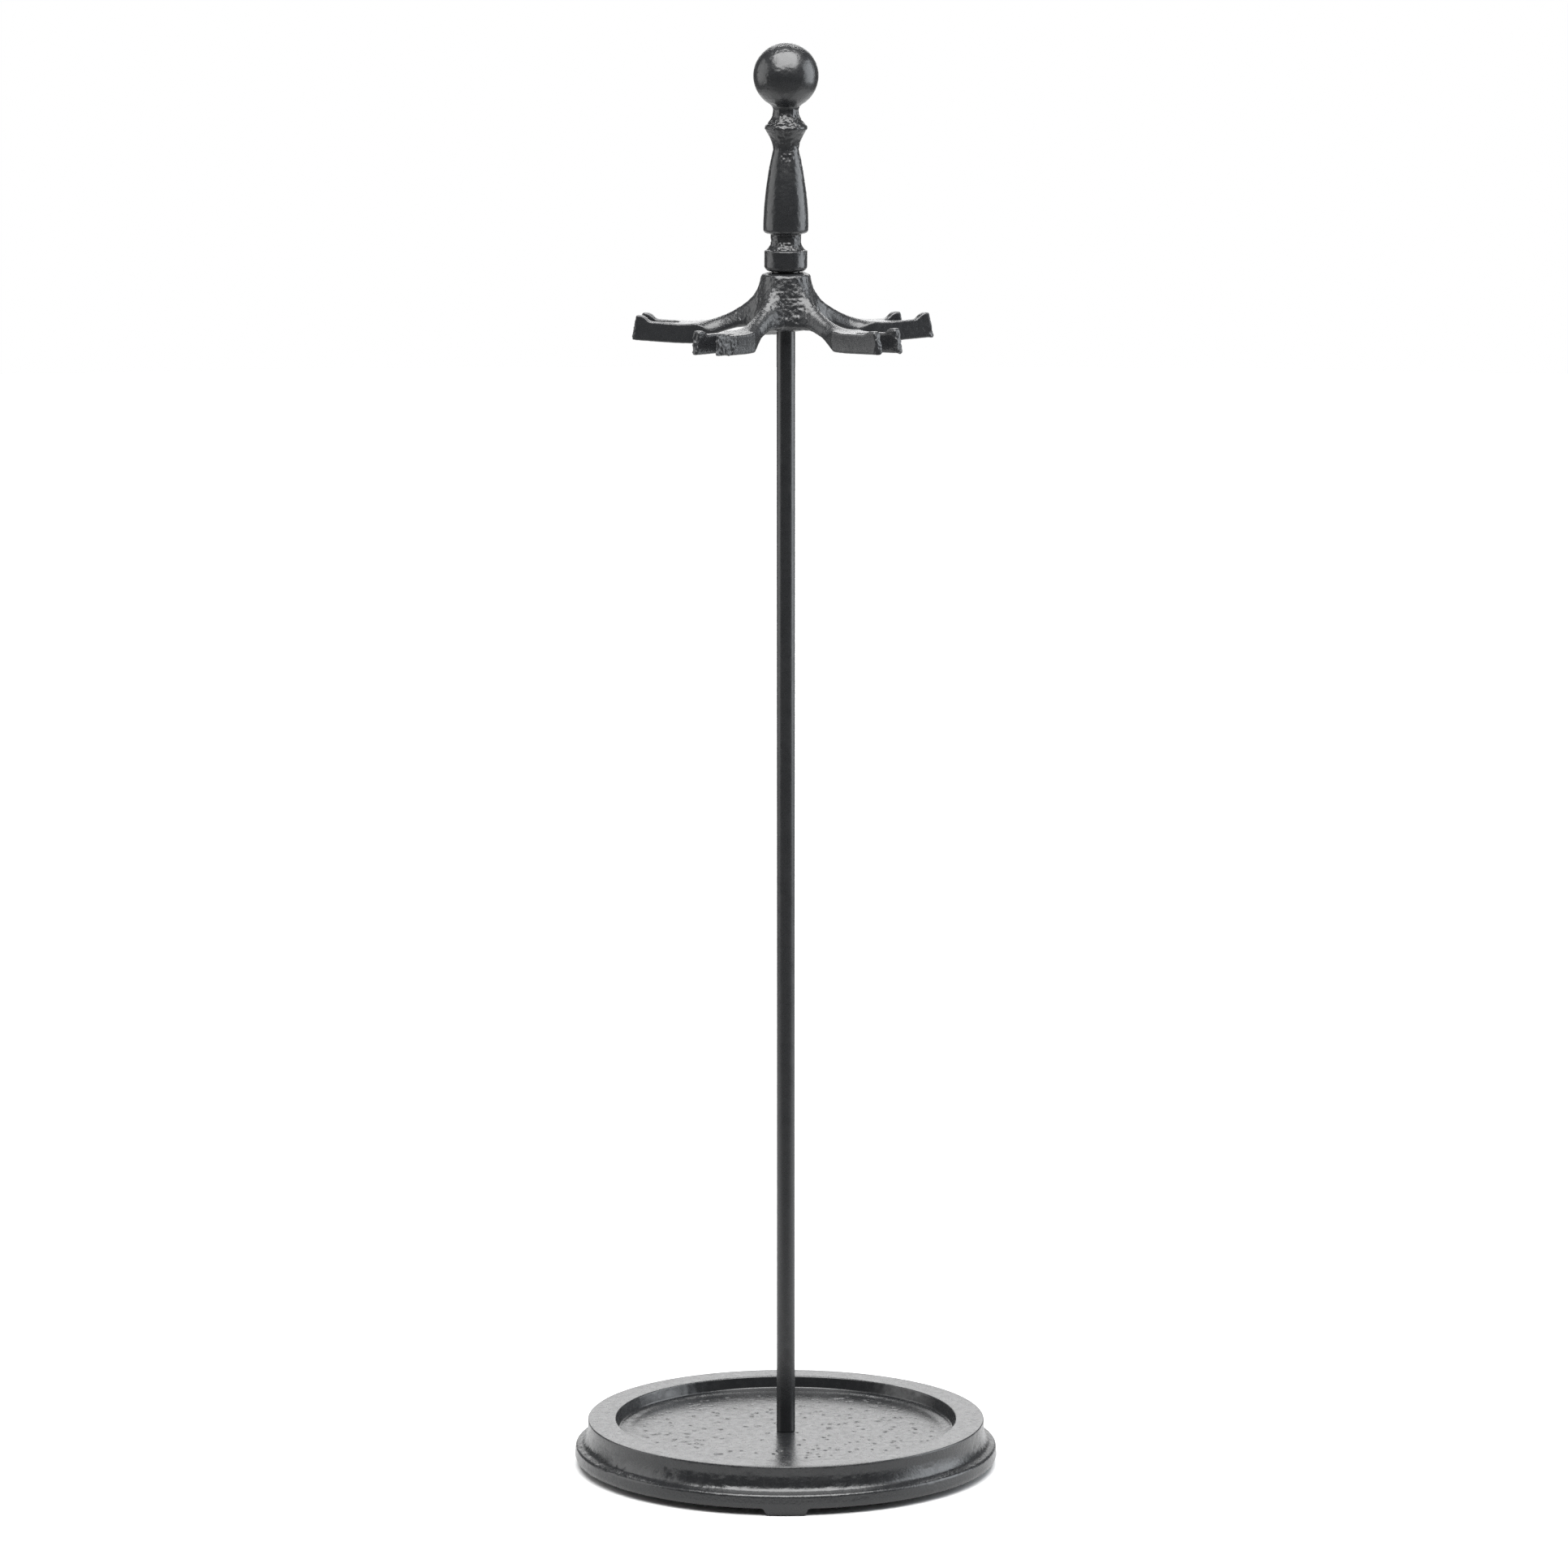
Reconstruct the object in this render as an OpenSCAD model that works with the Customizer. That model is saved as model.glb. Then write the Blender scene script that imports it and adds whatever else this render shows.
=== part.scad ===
// Stand of a fireside tool set: a heavy cast base with a tray, a slim steel rod,
// a cast hanger with five forked arms, and a turned-look cast handle with a ball.
// The rod is clamped to the base by a nut, and the handle screws down on the hanger.
// Millimetres, +Z up, origin on the floor under the middle of the base.

/* [Base] */
// Radius of the base at its widest, the bottom flange
base_r = 92.3; // [80:0.1:110]
// Radius of the flat rim around the tray
rim_r = 86.7; // [78:0.1:90]
// Height of the rim above the floor
rim_z = 20.5; // [18:0.1:30]
// Radius of the tray at the rim
tray_r = 74.3; // [60:0.1:76]
// Height of the tray floor above the floor
tray_z = 14.4; // [13.5:0.1:16]
// Height of the flange's top shoulder
flange_z = 8.8; // [7.5:0.1:10]
// Height of the three cast feet
foot_h = 3; // [2:0.1:4]
// Width of a foot where it meets the base
foot_w = 19.5; // [12:0.5:30]
// Length of a foot along the radius
foot_l = 14; // [8:0.5:20]

/* [Rod] */
// Diameter of the rod
rod_d = 8; // [7:0.5:12]
// Diameter of the threaded spigots at both ends
thread_d = 6; // [5:0.5:6]
// Pitch of the spigot threads
pitch = 1; // [0.75:0.05:1.25]

/* [Hanger] */
// Number of forked arms
arms = 5; // [3:1:5]
// Direction of the first arm, seen from above
arm_turn = 23.5; // [0:0.5:71.5]
// Reach of the forks from the rod's axis
fork_reach = 66.7; // [60:0.1:80]
// Width across a fork
fork_w = 15; // [13:0.5:18]
// Width of the slot in a fork
slot_w = 8; // [6:0.5:9]
// Depth of the slot along the arm
slot_l = 19.7; // [14:0.1:22]
// Height of the forks' underside above the floor
fork_z = 492.1; // [480:0.1:520]
// Thickness of a fork
fork_t = 8.4; // [5:0.1:9]
// Radius of the sweep from the hub down to the forks
sweep_r = 46; // [40:1:60]
// Height of the lug at the end of each prong
lug_h = 2.3; // [1:0.1:4]
// Radius of the hub
hub_r = 11; // [10:0.1:13]
// Shortfall of one prong, where the iron did not fill the mould
short_prong = 8.5; // [0:0.5:10]

/* [Handle] */
// Radius of the collar that bears on the hanger
collar_r = 9.2; // [8:0.1:12]
// Largest radius of the grip
grip_r = 9.7; // [8:0.1:13]
// Radius of the ball on top
ball_r = 14; // [11:0.1:18]

/* [Hidden] */
$fn = 96;

running_gap = 0.05;                // radial clearance of the threaded and plain fits
shoulder_r = 1.4;                  // rounding of the flange's shoulder
bottom_r = 1.3;                    // rounding of the flange's bottom edge
rim_edge_r = 0.6;                  // rounding of the rim's outer edge
tray_edge_r = 0.7;                 // rounding of the rim's inner edge
tray_draft = 0.8;                  // how far the tray's wall leans in
ledge_h = 0.9;                     // height of the worn ledge at the foot of that wall
ledge_w = 5.5;                     // width over which the ledge runs out
feet = 3;
first_foot = -90;                  // one foot stands straight in front

// Heights up the stand
pocket_z = 9.4;                    // ceiling of the nut pocket under the base
pocket_r = 13;
arm_drop = 8.7;                    // from the hub's underside down to the forks'
hub_h = 22.2;
hub_bottom = fork_z + arm_drop;
hub_top = hub_bottom + hub_h;
top_washer_t = 0.6;
collar_z = hub_top + top_washer_t; // underside of the handle
engaged_turns = 13.4;              // turns of thread that hold the handle
stud_top = collar_z + engaged_turns * pitch;
bore_spare = 3;                    // bore left above the stud
bore_top = stud_top + bore_spare;

// M6 washers and nut
washer_d = 12;
washer_t = 1.6;
lock_d = 11.2;
lock_t = 1.6;
lock_gap = 1.2;                    // split in the lock washer
nut_af = 10;                       // across the flats
nut_t = 5;
stud_beyond = 0.4;                 // stud that shows below the nut
stud_bottom = pocket_z - washer_t - lock_t - nut_t - stud_beyond;

bell = 3.3;                        // flare of the hub's lower end
bell_h = 13;                       // height over which it flares
arm_half = 4.8;                    // half the width of an arm near the hub
flare_start = 28;                  // where an arm begins to widen into its fork
flare_end = 38;
level_r = 45;                      // where the sweep runs out level
fork_rise = 1;                     // how much higher the fork's end is than its root
lug_l = 8;                         // length of the lug along the prong
fork_lean = 1.8;                   // the fork's end leans in by this over its height
arch_r = 64;                       // radius of the arch under an arm
arch_top_r = 6;                    // where that arch is highest, from the axis

// Points along a cubic curve from a to d, steered by b and c
function curve(a, b, c, d, steps = 8) = [
    for (i = [0:steps]) let (t = i / steps, s = 1 - t)
        s*s*s*a + 3*s*s*t*b + 3*s*t*t*c + t*t*t*d
];

// Points along a circular arc
function arc(x, y, r, from, to, steps = 6) = [
    for (i = [0:steps]) let (w = from + (to - from) * i / steps)
        [x + r*cos(w), y + r*sin(w)]
];

// ---- Base ----

// Outline of the base casting: flange, cove, flat rim and tray, from the bottom outwards
module base_outline() {
    wall_in = tray_r - tray_draft;
    ledge_z = tray_z + ledge_h;
    slope_top = [base_r - 3.2, flange_z + 1.3];
    polygon(concat(
        [[0, foot_h]],
        arc(base_r - bottom_r - 0.3, foot_h + bottom_r, bottom_r, -90, -10, 3),
        [[base_r, foot_h + 2]],
        arc(base_r - shoulder_r - 0.2, flange_z - 0.8, shoulder_r, 0, 68, 4),
        curve(slope_top, [rim_r + 1.3, flange_z + 1.9],
              [rim_r + 0.5, flange_z + 3.4], [rim_r, flange_z + 7.4]),
        arc(rim_r - rim_edge_r, rim_z - rim_edge_r, rim_edge_r, 0, 90, 3),
        arc(tray_r + tray_edge_r, rim_z - tray_edge_r, tray_edge_r, 90, 180, 3),
        [[wall_in, ledge_z + 0.4], [wall_in - 0.5, ledge_z], [wall_in - 1.6, ledge_z - 0.1]],
        [[wall_in - ledge_w + 1.5, tray_z + 0.1], [wall_in - ledge_w, tray_z]],
        [[0, tray_z]]
    ));
}

// One foot, cast under the flange: a block with sloping ends, trimmed to the flange's edge
module foot() {
    spread = 1.5;                  // how far each end slopes in
    intersection() {
        translate([base_r - foot_l, 0, 0]) rotate([90, 0, 90])
            linear_extrude(foot_l) polygon([
                [-foot_w/2 + spread, 0], [foot_w/2 - spread, 0],
                [foot_w/2, foot_h + 1], [-foot_w/2, foot_h + 1]
            ]);
        cylinder(r = base_r - 0.7, h = foot_h + 1);
    }
}

module base() {
    color("dimgray") difference() {
        union() {
            rotate_extrude() base_outline();
            for (i = [0:feet - 1]) rotate(first_foot + i * 360 / feet) foot();
        }
        cylinder(r = pocket_r, h = pocket_z);
        cylinder(d = thread_d + 2 * running_gap, h = rim_z);
    }
}

// ---- Rod ----

module rod() {
    color("darkslategray") union() {
        translate([0, 0, stud_bottom]) cylinder(d = thread_d, h = stud_top - stud_bottom);
        translate([0, 0, tray_z]) cylinder(d = rod_d, h = hub_bottom - tray_z);
    }
}

// ---- Hanger ----

// Hub of the hanger: flared like a bell below, and rounded at both ends
module hub() {
    top_round = 1.2;
    low_round = 2.2;
    bell_r = hub_r + bell;
    rotate_extrude() polygon(concat(
        [[0, hub_bottom]],
        arc(bell_r - low_round, hub_bottom + low_round, low_round, -90, 0),
        curve([bell_r - 0.2, hub_bottom + low_round + 0.8], [hub_r + 1.6, hub_bottom + 5.4],
              [hub_r + 0.3, hub_bottom + 8.5], [hub_r, hub_bottom + bell_h]),
        arc(hub_r - 0.4 - top_round, hub_top - top_round, top_round, 0, 90),
        [[0, hub_top]]
    ));
}

// Side view of an arm: arched below, swept above, then the fork with a lug at its end
module arm_side(reach) {
    fork_top = fork_z + fork_t;
    rise = fork_rise * (reach - level_r) / (fork_reach - level_r);
    end_top = fork_top + rise;
    lug_foot = reach - lug_l;
    lug_end = reach - fork_lean;
    lug_top = end_top + lug_h;
    difference() {
        union() {
            // the swept arm between the hub and the fork
            difference() {
                translate([0, fork_z]) square([level_r, hub_top - 4 - fork_z]);
                translate([level_r, fork_top + sweep_r]) circle(sweep_r, $fn = 180);
            }
            // the fork
            polygon([
                [flare_start, fork_z], [level_r, fork_z], [reach, fork_z + rise],
                [reach - fork_lean, end_top], [level_r, fork_top], [flare_start, fork_top]
            ]);
            // the lug
            polygon([
                [lug_foot, fork_top - 1], [lug_end + 0.1, fork_top - 1],
                [lug_end - 0.4, lug_top - 0.5], [lug_end - 1.2, lug_top],
                [lug_foot + lug_h, lug_top - 0.1], [lug_foot, end_top - 0.3]
            ]);
        }
        translate([arch_top_r, hub_bottom - arch_r]) circle(arch_r, $fn = 180);
        translate([-1, fork_z - 1]) square([arch_top_r + 1, hub_bottom - fork_z + 1]);
    }
}

// Top view of an arm with its slot
module arm_plan() {
    crotch = fork_reach - slot_l + slot_w / 2;
    difference() {
        polygon([
            [0, -arm_half], [flare_start, -arm_half], [flare_end, -fork_w/2],
            [fork_reach + 1, -fork_w/2], [fork_reach + 1, fork_w/2],
            [flare_end, fork_w/2], [flare_start, arm_half], [0, arm_half]
        ]);
        translate([crotch, 0]) circle(d = slot_w);
        translate([crotch, -slot_w/2]) square([slot_l, slot_w]);
    }
}

// One arm; the prong on its left, seen along the arm, ends short by left_short
module arm(left_short = 0) {
    half = fork_w / 2;
    intersection() {
        rotate([90, 0, 0]) union() {
            linear_extrude(half) arm_side(fork_reach);
            translate([0, 0, -half]) linear_extrude(half) arm_side(fork_reach - left_short);
        }
        translate([0, 0, fork_z - 1]) linear_extrude(hub_top - fork_z) arm_plan();
    }
}

module hanger() {
    color("dimgray") difference() {
        union() {
            hub();
            for (i = [0:arms - 1]) rotate(arm_turn + i * 360 / arms) arm(i == 0 ? short_prong : 0);
        }
        translate([0, 0, fork_z - 1])
            cylinder(d = thread_d + 2 * running_gap, h = hub_top - fork_z + 2);
    }
}

// ---- Handle ----

// Outline of the handle: collar, neck, grip, waist, ring, neck and ball
module handle_outline() {
    neck_r = 6.4;
    waist_r = 5.5;
    ring_r = 9.15;
    throat_r = 5.5;
    collar_h = 8.9;
    neck_h = 6.8;
    grip_h = 36;
    flare_h = 9.3;                 // from the waist up to the ring
    throat_h = 7.4;
    collar_top = collar_z + collar_h;
    grip_z = collar_top + neck_h;  // sharp shoulder under the grip
    waist_z = grip_z + grip_h;
    ring_z = waist_z + flare_h;
    throat_z = ring_z + throat_h;
    ball_z = throat_z + 14.7;
    ball_start = -59;              // where the fillet under the ball runs into it
    fillet_end = [ball_r * cos(ball_start), ball_z + ball_r * sin(ball_start)];
    polygon(concat(
        [[0, collar_z]],
        arc(collar_r - 2, collar_z + 2, 2, -90, 0),
        arc(collar_r - 0.7, collar_top - 0.7, 0.7, 0, 80, 3),
        curve([collar_r - 1, collar_top + 0.2], [neck_r + 0.5, collar_top + 1.6],
              [neck_r, collar_top + 2.6], [neck_r, collar_top + 4.4]),
        [[neck_r + 0.2, grip_z]],
        arc(grip_r - 1.9, grip_z + 2.2, 1.9, -80, 0),
        curve([grip_r, grip_z + 5.5], [grip_r - 0.3, grip_z + 18],
              [waist_r + 1.6, waist_z - 6.5], [waist_r, waist_z], 12),
        curve([waist_r, waist_z], [waist_r + 0.2, waist_z + 3.6],
              [ring_r - 1.6, ring_z - 3], [ring_r - 0.5, ring_z - 1.2]),
        arc(ring_r - 1.4, ring_z, 1.4, -38, 52, 4),
        curve([ring_r - 1, ring_z + 1.6], [throat_r + 1.2, ring_z + 3.2],
              [throat_r, ring_z + 4.6], [throat_r, throat_z]),
        curve([throat_r, throat_z], [throat_r, throat_z + 1.3],
              fillet_end - [1.03, 0.62], fillet_end, 4),
        arc(0, ball_z, ball_r, ball_start, 90, 24)
    ));
}

module handle() {
    color("dimgray") difference() {
        rotate_extrude() handle_outline();
        translate([0, 0, collar_z - 1])
            cylinder(d = thread_d + 2 * running_gap, h = bore_top - collar_z + 1);
    }
}

// ---- Washers and nut ----

// A flat ring with its underside at z
module ring(outer_d, z, t) {
    translate([0, 0, z]) difference() {
        cylinder(d = outer_d, h = t);
        translate([0, 0, -1]) cylinder(d = thread_d + 2 * running_gap, h = t + 2);
    }
}

module top_washer() {
    color("dimgray") ring(washer_d, hub_top, top_washer_t);
}

module base_washer() {
    color("silver") ring(washer_d, pocket_z - washer_t, washer_t);
}

module lock_washer() {
    color("silver") difference() {
        ring(lock_d, pocket_z - washer_t - lock_t, lock_t);
        translate([0, -lock_gap / 2, 0]) cube([lock_d, lock_gap, pocket_z]);
    }
}

module base_nut() {
    z = pocket_z - washer_t - lock_t - nut_t;
    color("silver") difference() {
        translate([0, 0, z]) cylinder(d = nut_af / cos(30), h = nut_t, $fn = 6);
        translate([0, 0, z - 1]) cylinder(d = thread_d + 2 * running_gap, h = nut_t + 2);
    }
}

base();
rod();
hanger();
top_washer();
handle();
base_washer();
lock_washer();
base_nut();
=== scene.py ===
"""Looks of the fireside tool stand: castings, rod, threads and fasteners around the CAD frame."""
import bpy
import math
import numpy as np
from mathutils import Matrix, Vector


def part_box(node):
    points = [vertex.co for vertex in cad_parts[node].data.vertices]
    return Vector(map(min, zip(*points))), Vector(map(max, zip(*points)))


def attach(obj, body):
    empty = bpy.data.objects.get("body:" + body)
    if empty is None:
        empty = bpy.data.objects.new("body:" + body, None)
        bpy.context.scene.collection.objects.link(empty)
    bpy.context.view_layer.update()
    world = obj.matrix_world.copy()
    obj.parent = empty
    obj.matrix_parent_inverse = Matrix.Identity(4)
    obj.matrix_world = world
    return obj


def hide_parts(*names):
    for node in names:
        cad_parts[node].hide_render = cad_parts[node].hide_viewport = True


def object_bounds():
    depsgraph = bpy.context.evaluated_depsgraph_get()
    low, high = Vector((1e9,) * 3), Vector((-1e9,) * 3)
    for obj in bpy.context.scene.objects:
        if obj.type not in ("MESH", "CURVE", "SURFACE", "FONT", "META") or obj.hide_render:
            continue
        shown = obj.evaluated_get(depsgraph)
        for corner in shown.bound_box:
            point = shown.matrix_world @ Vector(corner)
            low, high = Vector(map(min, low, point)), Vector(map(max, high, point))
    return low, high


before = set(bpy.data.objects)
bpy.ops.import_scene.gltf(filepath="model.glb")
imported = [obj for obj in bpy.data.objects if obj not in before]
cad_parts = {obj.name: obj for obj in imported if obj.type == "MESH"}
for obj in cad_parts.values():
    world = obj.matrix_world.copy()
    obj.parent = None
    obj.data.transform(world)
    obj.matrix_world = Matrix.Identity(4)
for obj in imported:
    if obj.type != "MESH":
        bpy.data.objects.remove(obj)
cad_low, cad_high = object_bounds()

MM = 0.001                       # shapes are worked out in millimetres and built in metres


def node_box(name):
    """Lowest and highest corner of a CAD node in millimetres."""
    low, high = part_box(name)
    return np.array(low) / MM, np.array(high) / MM


# ---------------------------------------------------------------- driving dimensions, millimetres

base_high = node_box("base")[1]
rod_low, rod_high = node_box("rod")
hanger_low, hanger_high = node_box("hanger")
washer_low = node_box("top_washer")[0]
handle_low, handle_high = node_box("handle")
nut_low, nut_high = node_box("base_nut")
flat_high = node_box("base_washer")[1]
lock_low, lock_high = node_box("lock_washer")

# base casting
BASE_R = base_high[0]
RIM_Z = base_high[2]
RIM_R = 86.7                     # edge of the flat rim
TRAY_R = 74.3                    # tray at the rim
TRAY_Z = 14.4                    # tray floor
FLANGE_Z = 8.8                   # shoulder of the bottom flange
SHOULDER_R = 1.4                 # rounding of that shoulder
FOOT_H = 3.0
FOOT_W = 19.5
FOOT_L = 14.0
FOOT_SPREAD = 1.5                # how far each end of a foot slopes in
FEET = 3
FOOT_TOP = FOOT_H + 2.0          # where a foot runs out into the flange
POCKET_R = 13.0                  # nut pocket under the base
POCKET_Z = flat_high[2]
PITS = 230                       # pits left by gas and sand on the tray's floor
PIT_R = (0.9, 1.6)
PIT_DEPTH = (0.3, 0.6)

# rod
ROD_R = rod_high[0]
STUD_R = 3.0
STUD_CHAMFER = 0.8
STUD_PLAIN = 18.0                # plain length of the upper stud, inside the hanger
PITCH = 1.0
THREAD_DEPTH = 0.5
THREAD_FLAT = 0.12               # share of half a turn that is flat at the crest and at the root
HUB_BOTTOM = 500.8               # shoulder of the rod, underside of the hanger

# hanger
HUB_TOP = washer_low[2]
HUB_R = 11.0
HUB_SWELL = 0.25                 # how much wider the hub is at its foot
HUB_TAPER = 0.045                # and how much narrower per millimetre of height
HUB_ROUND = 2.2                  # rounding of the hub's top edge
BELL, BELL_H = 3.3, 13.0         # flare of the hub's lower end and its height
BORE_R = 3.05
ARMS = 5
ARM_TURN = 23.5
FORK_Z = hanger_low[2]
FORK_T = 8.4
FORK_W = 15.0
FORK_REACH = 66.7
FORK_RISE = 1.0                  # from where the sweep levels out to the fork's end
FORK_LEAN = 1.8
LEVEL_R = 45.0
SWEEP_R = 46.0
ARCH_R = 64.0
ARCH_TOP_R = 6.0
ARM_HALF = 4.8
ARM_BLEND = 6.0                  # fillet between the hub and the arms
CREST = 4.0                      # how far an arm's top falls away to its sides
CREST_END = (31.0, 39.0)         # where that rounding fades out along the arm
FLARE = (28.0, 38.0)             # where an arm widens into its fork
SLOT_W = 8.0
SLOT_L = 19.7
LUG_L = 8.0
LUG_H = 2.3
# lugs that are lower than the rest: (arm, left side) -> height
LOW_LUGS = {(3, True): 0.5, (3, False): 1.4, (4, False): 1.1, (4, True): 1.8}
SHORT_PRONG = 8.5                # how far the left prong of arm 0 falls short
# how much of a prong's outer corner is dressed off: (arm, left side) -> (along, across)
DRESSED = {(3, True): (11.5, 3.4)}
PLAIN_DRESS = (1.6, 1.1)

# handle
COLLAR_Z = handle_low[2]
COLLAR_R = 9.2
GRIP_R = 9.7
BALL_R = handle_high[0]
HANDLE_TOP = handle_high[2]
BORE_SPARE = 3.0                 # bore left above the stud
BORE_TOP = rod_high[2] + BORE_SPARE


# ---------------------------------------------------------------- small maths

def smoothstep(x):
    x = np.clip(x, 0.0, 1.0)
    return x * x * (3.0 - 2.0 * x)


def soft_max(a, b, k):
    """The larger of two distances, rounded over a width k where they meet."""
    h = np.maximum(k - np.abs(a - b), 0.0) / k
    return np.maximum(a, b) + h * h * k * 0.25


def soft_min(a, b, k):
    return -soft_max(-a, -b, k)


def lattice(i, j, k, seed):
    """A repeatable random number from -1 to 1 at each whole-numbered lattice point."""
    h = (i * 374761393 + j * 668265263 + k * 2147483647 + seed * 1274126177) & 0xFFFFFFFF
    h = ((h ^ (h >> 13)) * 1274126177) & 0xFFFFFFFF
    h = h ^ (h >> 16)
    return (h & 0xFFFF) / 32767.5 - 1.0


def noise(points, size, seed):
    """Smooth random field from -1 to 1 with features about size across."""
    q = points / size
    cell = np.floor(q).astype(np.int64)
    f = smoothstep(q - cell)
    total = np.zeros(len(points))
    for dx in (0, 1):
        for dy in (0, 1):
            for dz in (0, 1):
                weight = (
                    np.where(dx, f[:, 0], 1 - f[:, 0])
                    * np.where(dy, f[:, 1], 1 - f[:, 1])
                    * np.where(dz, f[:, 2], 1 - f[:, 2])
                )
                total += weight * lattice(cell[:, 0] + dx, cell[:, 1] + dy, cell[:, 2] + dz, seed)
    return total


def crackle(points, size, seed):
    """Random field with sharp ridges, like the skin of a rough casting."""
    return 0.6 - 2.0 * np.abs(noise(points, size, seed))


def cast_skin(points, rough, ridge, grain, seed):
    """How far a casting's skin stands out or in: ridges and finer grain, times how rough it is."""
    return rough * (0.4 * crackle(points, ridge, seed) + 0.75 * noise(points, grain, seed + 1))


def curve(a, b, c, d, steps=12):
    """Points along a cubic curve from a to d, steered by b and c."""
    t = np.linspace(0, 1, steps + 1)[:, None]
    s = 1 - t
    a, b, c, d = (np.array(p, float) for p in (a, b, c, d))
    return s**3 * a + 3 * s * s * t * b + 3 * s * t * t * c + t**3 * d


def arc(x, y, r, start, end, steps=8):
    w = np.radians(np.linspace(start, end, steps + 1))
    return np.stack([x + r * np.cos(w), y + r * np.sin(w)], axis=1)


def joined(*parts):
    """One outline from several stretches, with repeated points dropped."""
    points = np.concatenate([np.atleast_2d(np.array(p, float)) for p in parts])
    keep = np.ones(len(points), bool)
    keep[1:] = np.linalg.norm(np.diff(points, axis=0), axis=1) > 1e-4
    return points[keep]


def resampled(outline, spacing):
    """The outline with points at most spacing(middle) apart; its own points are kept."""
    out = [outline[0]]
    for p, q in zip(outline[:-1], outline[1:]):
        n = max(1, math.ceil(np.linalg.norm(q - p) / spacing((p + q) / 2)))
        out.extend(p + (q - p) * i / n for i in range(1, n + 1))
    return np.array(out)


# ---------------------------------------------------------------- mesh building

def new_piece(name, verts_mm, faces, body, replaced, material, crease=None):
    """A mesh piece that rides on a body, stands for a CAD node and wears a material."""
    mesh = bpy.data.meshes.new(name)
    mesh.from_pydata((np.asarray(verts_mm) * MM).tolist(), [], faces)
    mesh.validate()
    mesh.polygons.foreach_set("use_smooth", [True] * len(mesh.polygons))
    if crease:
        mesh.set_sharp_from_angle(angle=math.radians(crease))
    mesh.update()
    obj = bpy.data.objects.new(name, mesh)
    bpy.context.scene.collection.objects.link(obj)
    mesh.materials.append(material)
    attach(obj, body)
    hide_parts(replaced)
    return obj


def grid_faces(rows, around, closed_rows=False):
    """Quads of a grid that wraps around; with closed_rows the last row joins the first."""
    faces = []
    last = rows if closed_rows else rows - 1
    for i in range(last):
        a, b = i * around, ((i + 1) % rows) * around
        for j in range(around):
            k = (j + 1) % around
            faces.append((a + j, a + k, b + k, b + j))
    return faces


def turned(outline, around):
    """Vertices of an outline of (radius, height) points turned about +Z, as (rows, around, 3)."""
    w = np.linspace(0, 2 * math.pi, around, endpoint=False)
    r, z = outline[:, 0][:, None], outline[:, 1][:, None]
    return np.stack([r * np.cos(w), r * np.sin(w), z + 0 * w], axis=2)


def pole_faces(rows, around):
    """Faces of a turned grid closed by one vertex at each end, which follow the grid's own."""
    first, last = rows * around, rows * around + 1
    end = (rows - 1) * around
    faces = grid_faces(rows, around)
    faces += [(first, (j + 1) % around, j) for j in range(around)]
    faces += [(last, end + j, end + (j + 1) % around) for j in range(around)]
    return faces


def outline_normals(outline):
    """Outward normals of a closed outline that runs anticlockwise in (radius, height)."""
    step = np.roll(outline, -1, axis=0) - np.roll(outline, 1, axis=0)
    n = np.stack([step[:, 1], -step[:, 0]], axis=1)
    return n / np.maximum(np.linalg.norm(n, axis=1), 1e-9)[:, None]


def outward(points, normals, around):
    """Directions out of a turned grid's points: in (radius, height), and in space."""
    w = np.arctan2(points[:, 1], points[:, 0])
    n = np.repeat(normals, around, axis=0)
    return n, np.stack([n[:, 0] * np.cos(w), n[:, 0] * np.sin(w), n[:, 1]], axis=1)


def surface_net(field, low, step):
    """Quads around the zero level of a field sampled on a grid; negative is inside."""
    inside = field < 0
    corners = [(a, b, c) for a in (0, 1) for b in (0, 1) for c in (0, 1)]
    nx, ny, nz = (n - 1 for n in field.shape)

    def corner(values, c):
        return values[c[0]:c[0] + nx, c[1]:c[1] + ny, c[2]:c[2] + nz]

    count = sum(corner(inside, c).astype(np.int8) for c in corners)
    mixed = (count > 0) & (count < 8)
    cells = np.argwhere(mixed)
    index = np.full(mixed.shape, -1, np.int64)
    index[mixed] = np.arange(len(cells))
    total = np.zeros((len(cells), 3))
    hits = np.zeros(len(cells))
    for c in corners:
        for axis in range(3):
            if c[axis]:
                continue
            d = list(c)
            d[axis] = 1
            fa = field[tuple((cells + c).T)]
            fb = field[tuple((cells + d).T)]
            cross = (fa < 0) != (fb < 0)
            t = np.where(cross, fa / np.where(cross, fa - fb, 1.0), 0.0)
            point = np.array(c, float) + np.zeros((len(cells), 3))
            point[:, axis] = t
            total += point * cross[:, None]
            hits += cross
    verts = low + (cells + total / hits[:, None]) * step
    faces = []
    for axis in range(3):
        u, v = [(1, 2), (2, 0), (0, 1)][axis]
        a = [slice(None)] * 3
        b = [slice(None)] * 3
        a[axis], b[axis] = slice(0, -1), slice(1, None)
        ia, ib = inside[tuple(a)], inside[tuple(b)]
        for out_to_in in (False, True):
            edges = np.argwhere((ia & ~ib) if not out_to_in else (~ia & ib))
            edges = edges[(edges[:, u] > 0) & (edges[:, v] > 0)]
            edges = edges[(edges[:, u] < mixed.shape[u]) & (edges[:, v] < mixed.shape[v])]
            ring = []
            for du, dv in ((-1, -1), (0, -1), (0, 0), (-1, 0)):
                cell = edges.copy()
                cell[:, u] += du
                cell[:, v] += dv
                ring.append(index[tuple(cell.T)])
            quad = np.stack(ring, axis=1)
            faces.append(quad[:, ::-1] if out_to_in else quad)
    return verts, np.concatenate(faces)


def gradient(distance, points, reach=0.05):
    g = np.zeros_like(points)
    for axis in range(3):
        shift = np.zeros(3)
        shift[axis] = reach
        g[:, axis] = (distance(points + shift) - distance(points - shift)) / (2 * reach)
    return g


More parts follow.
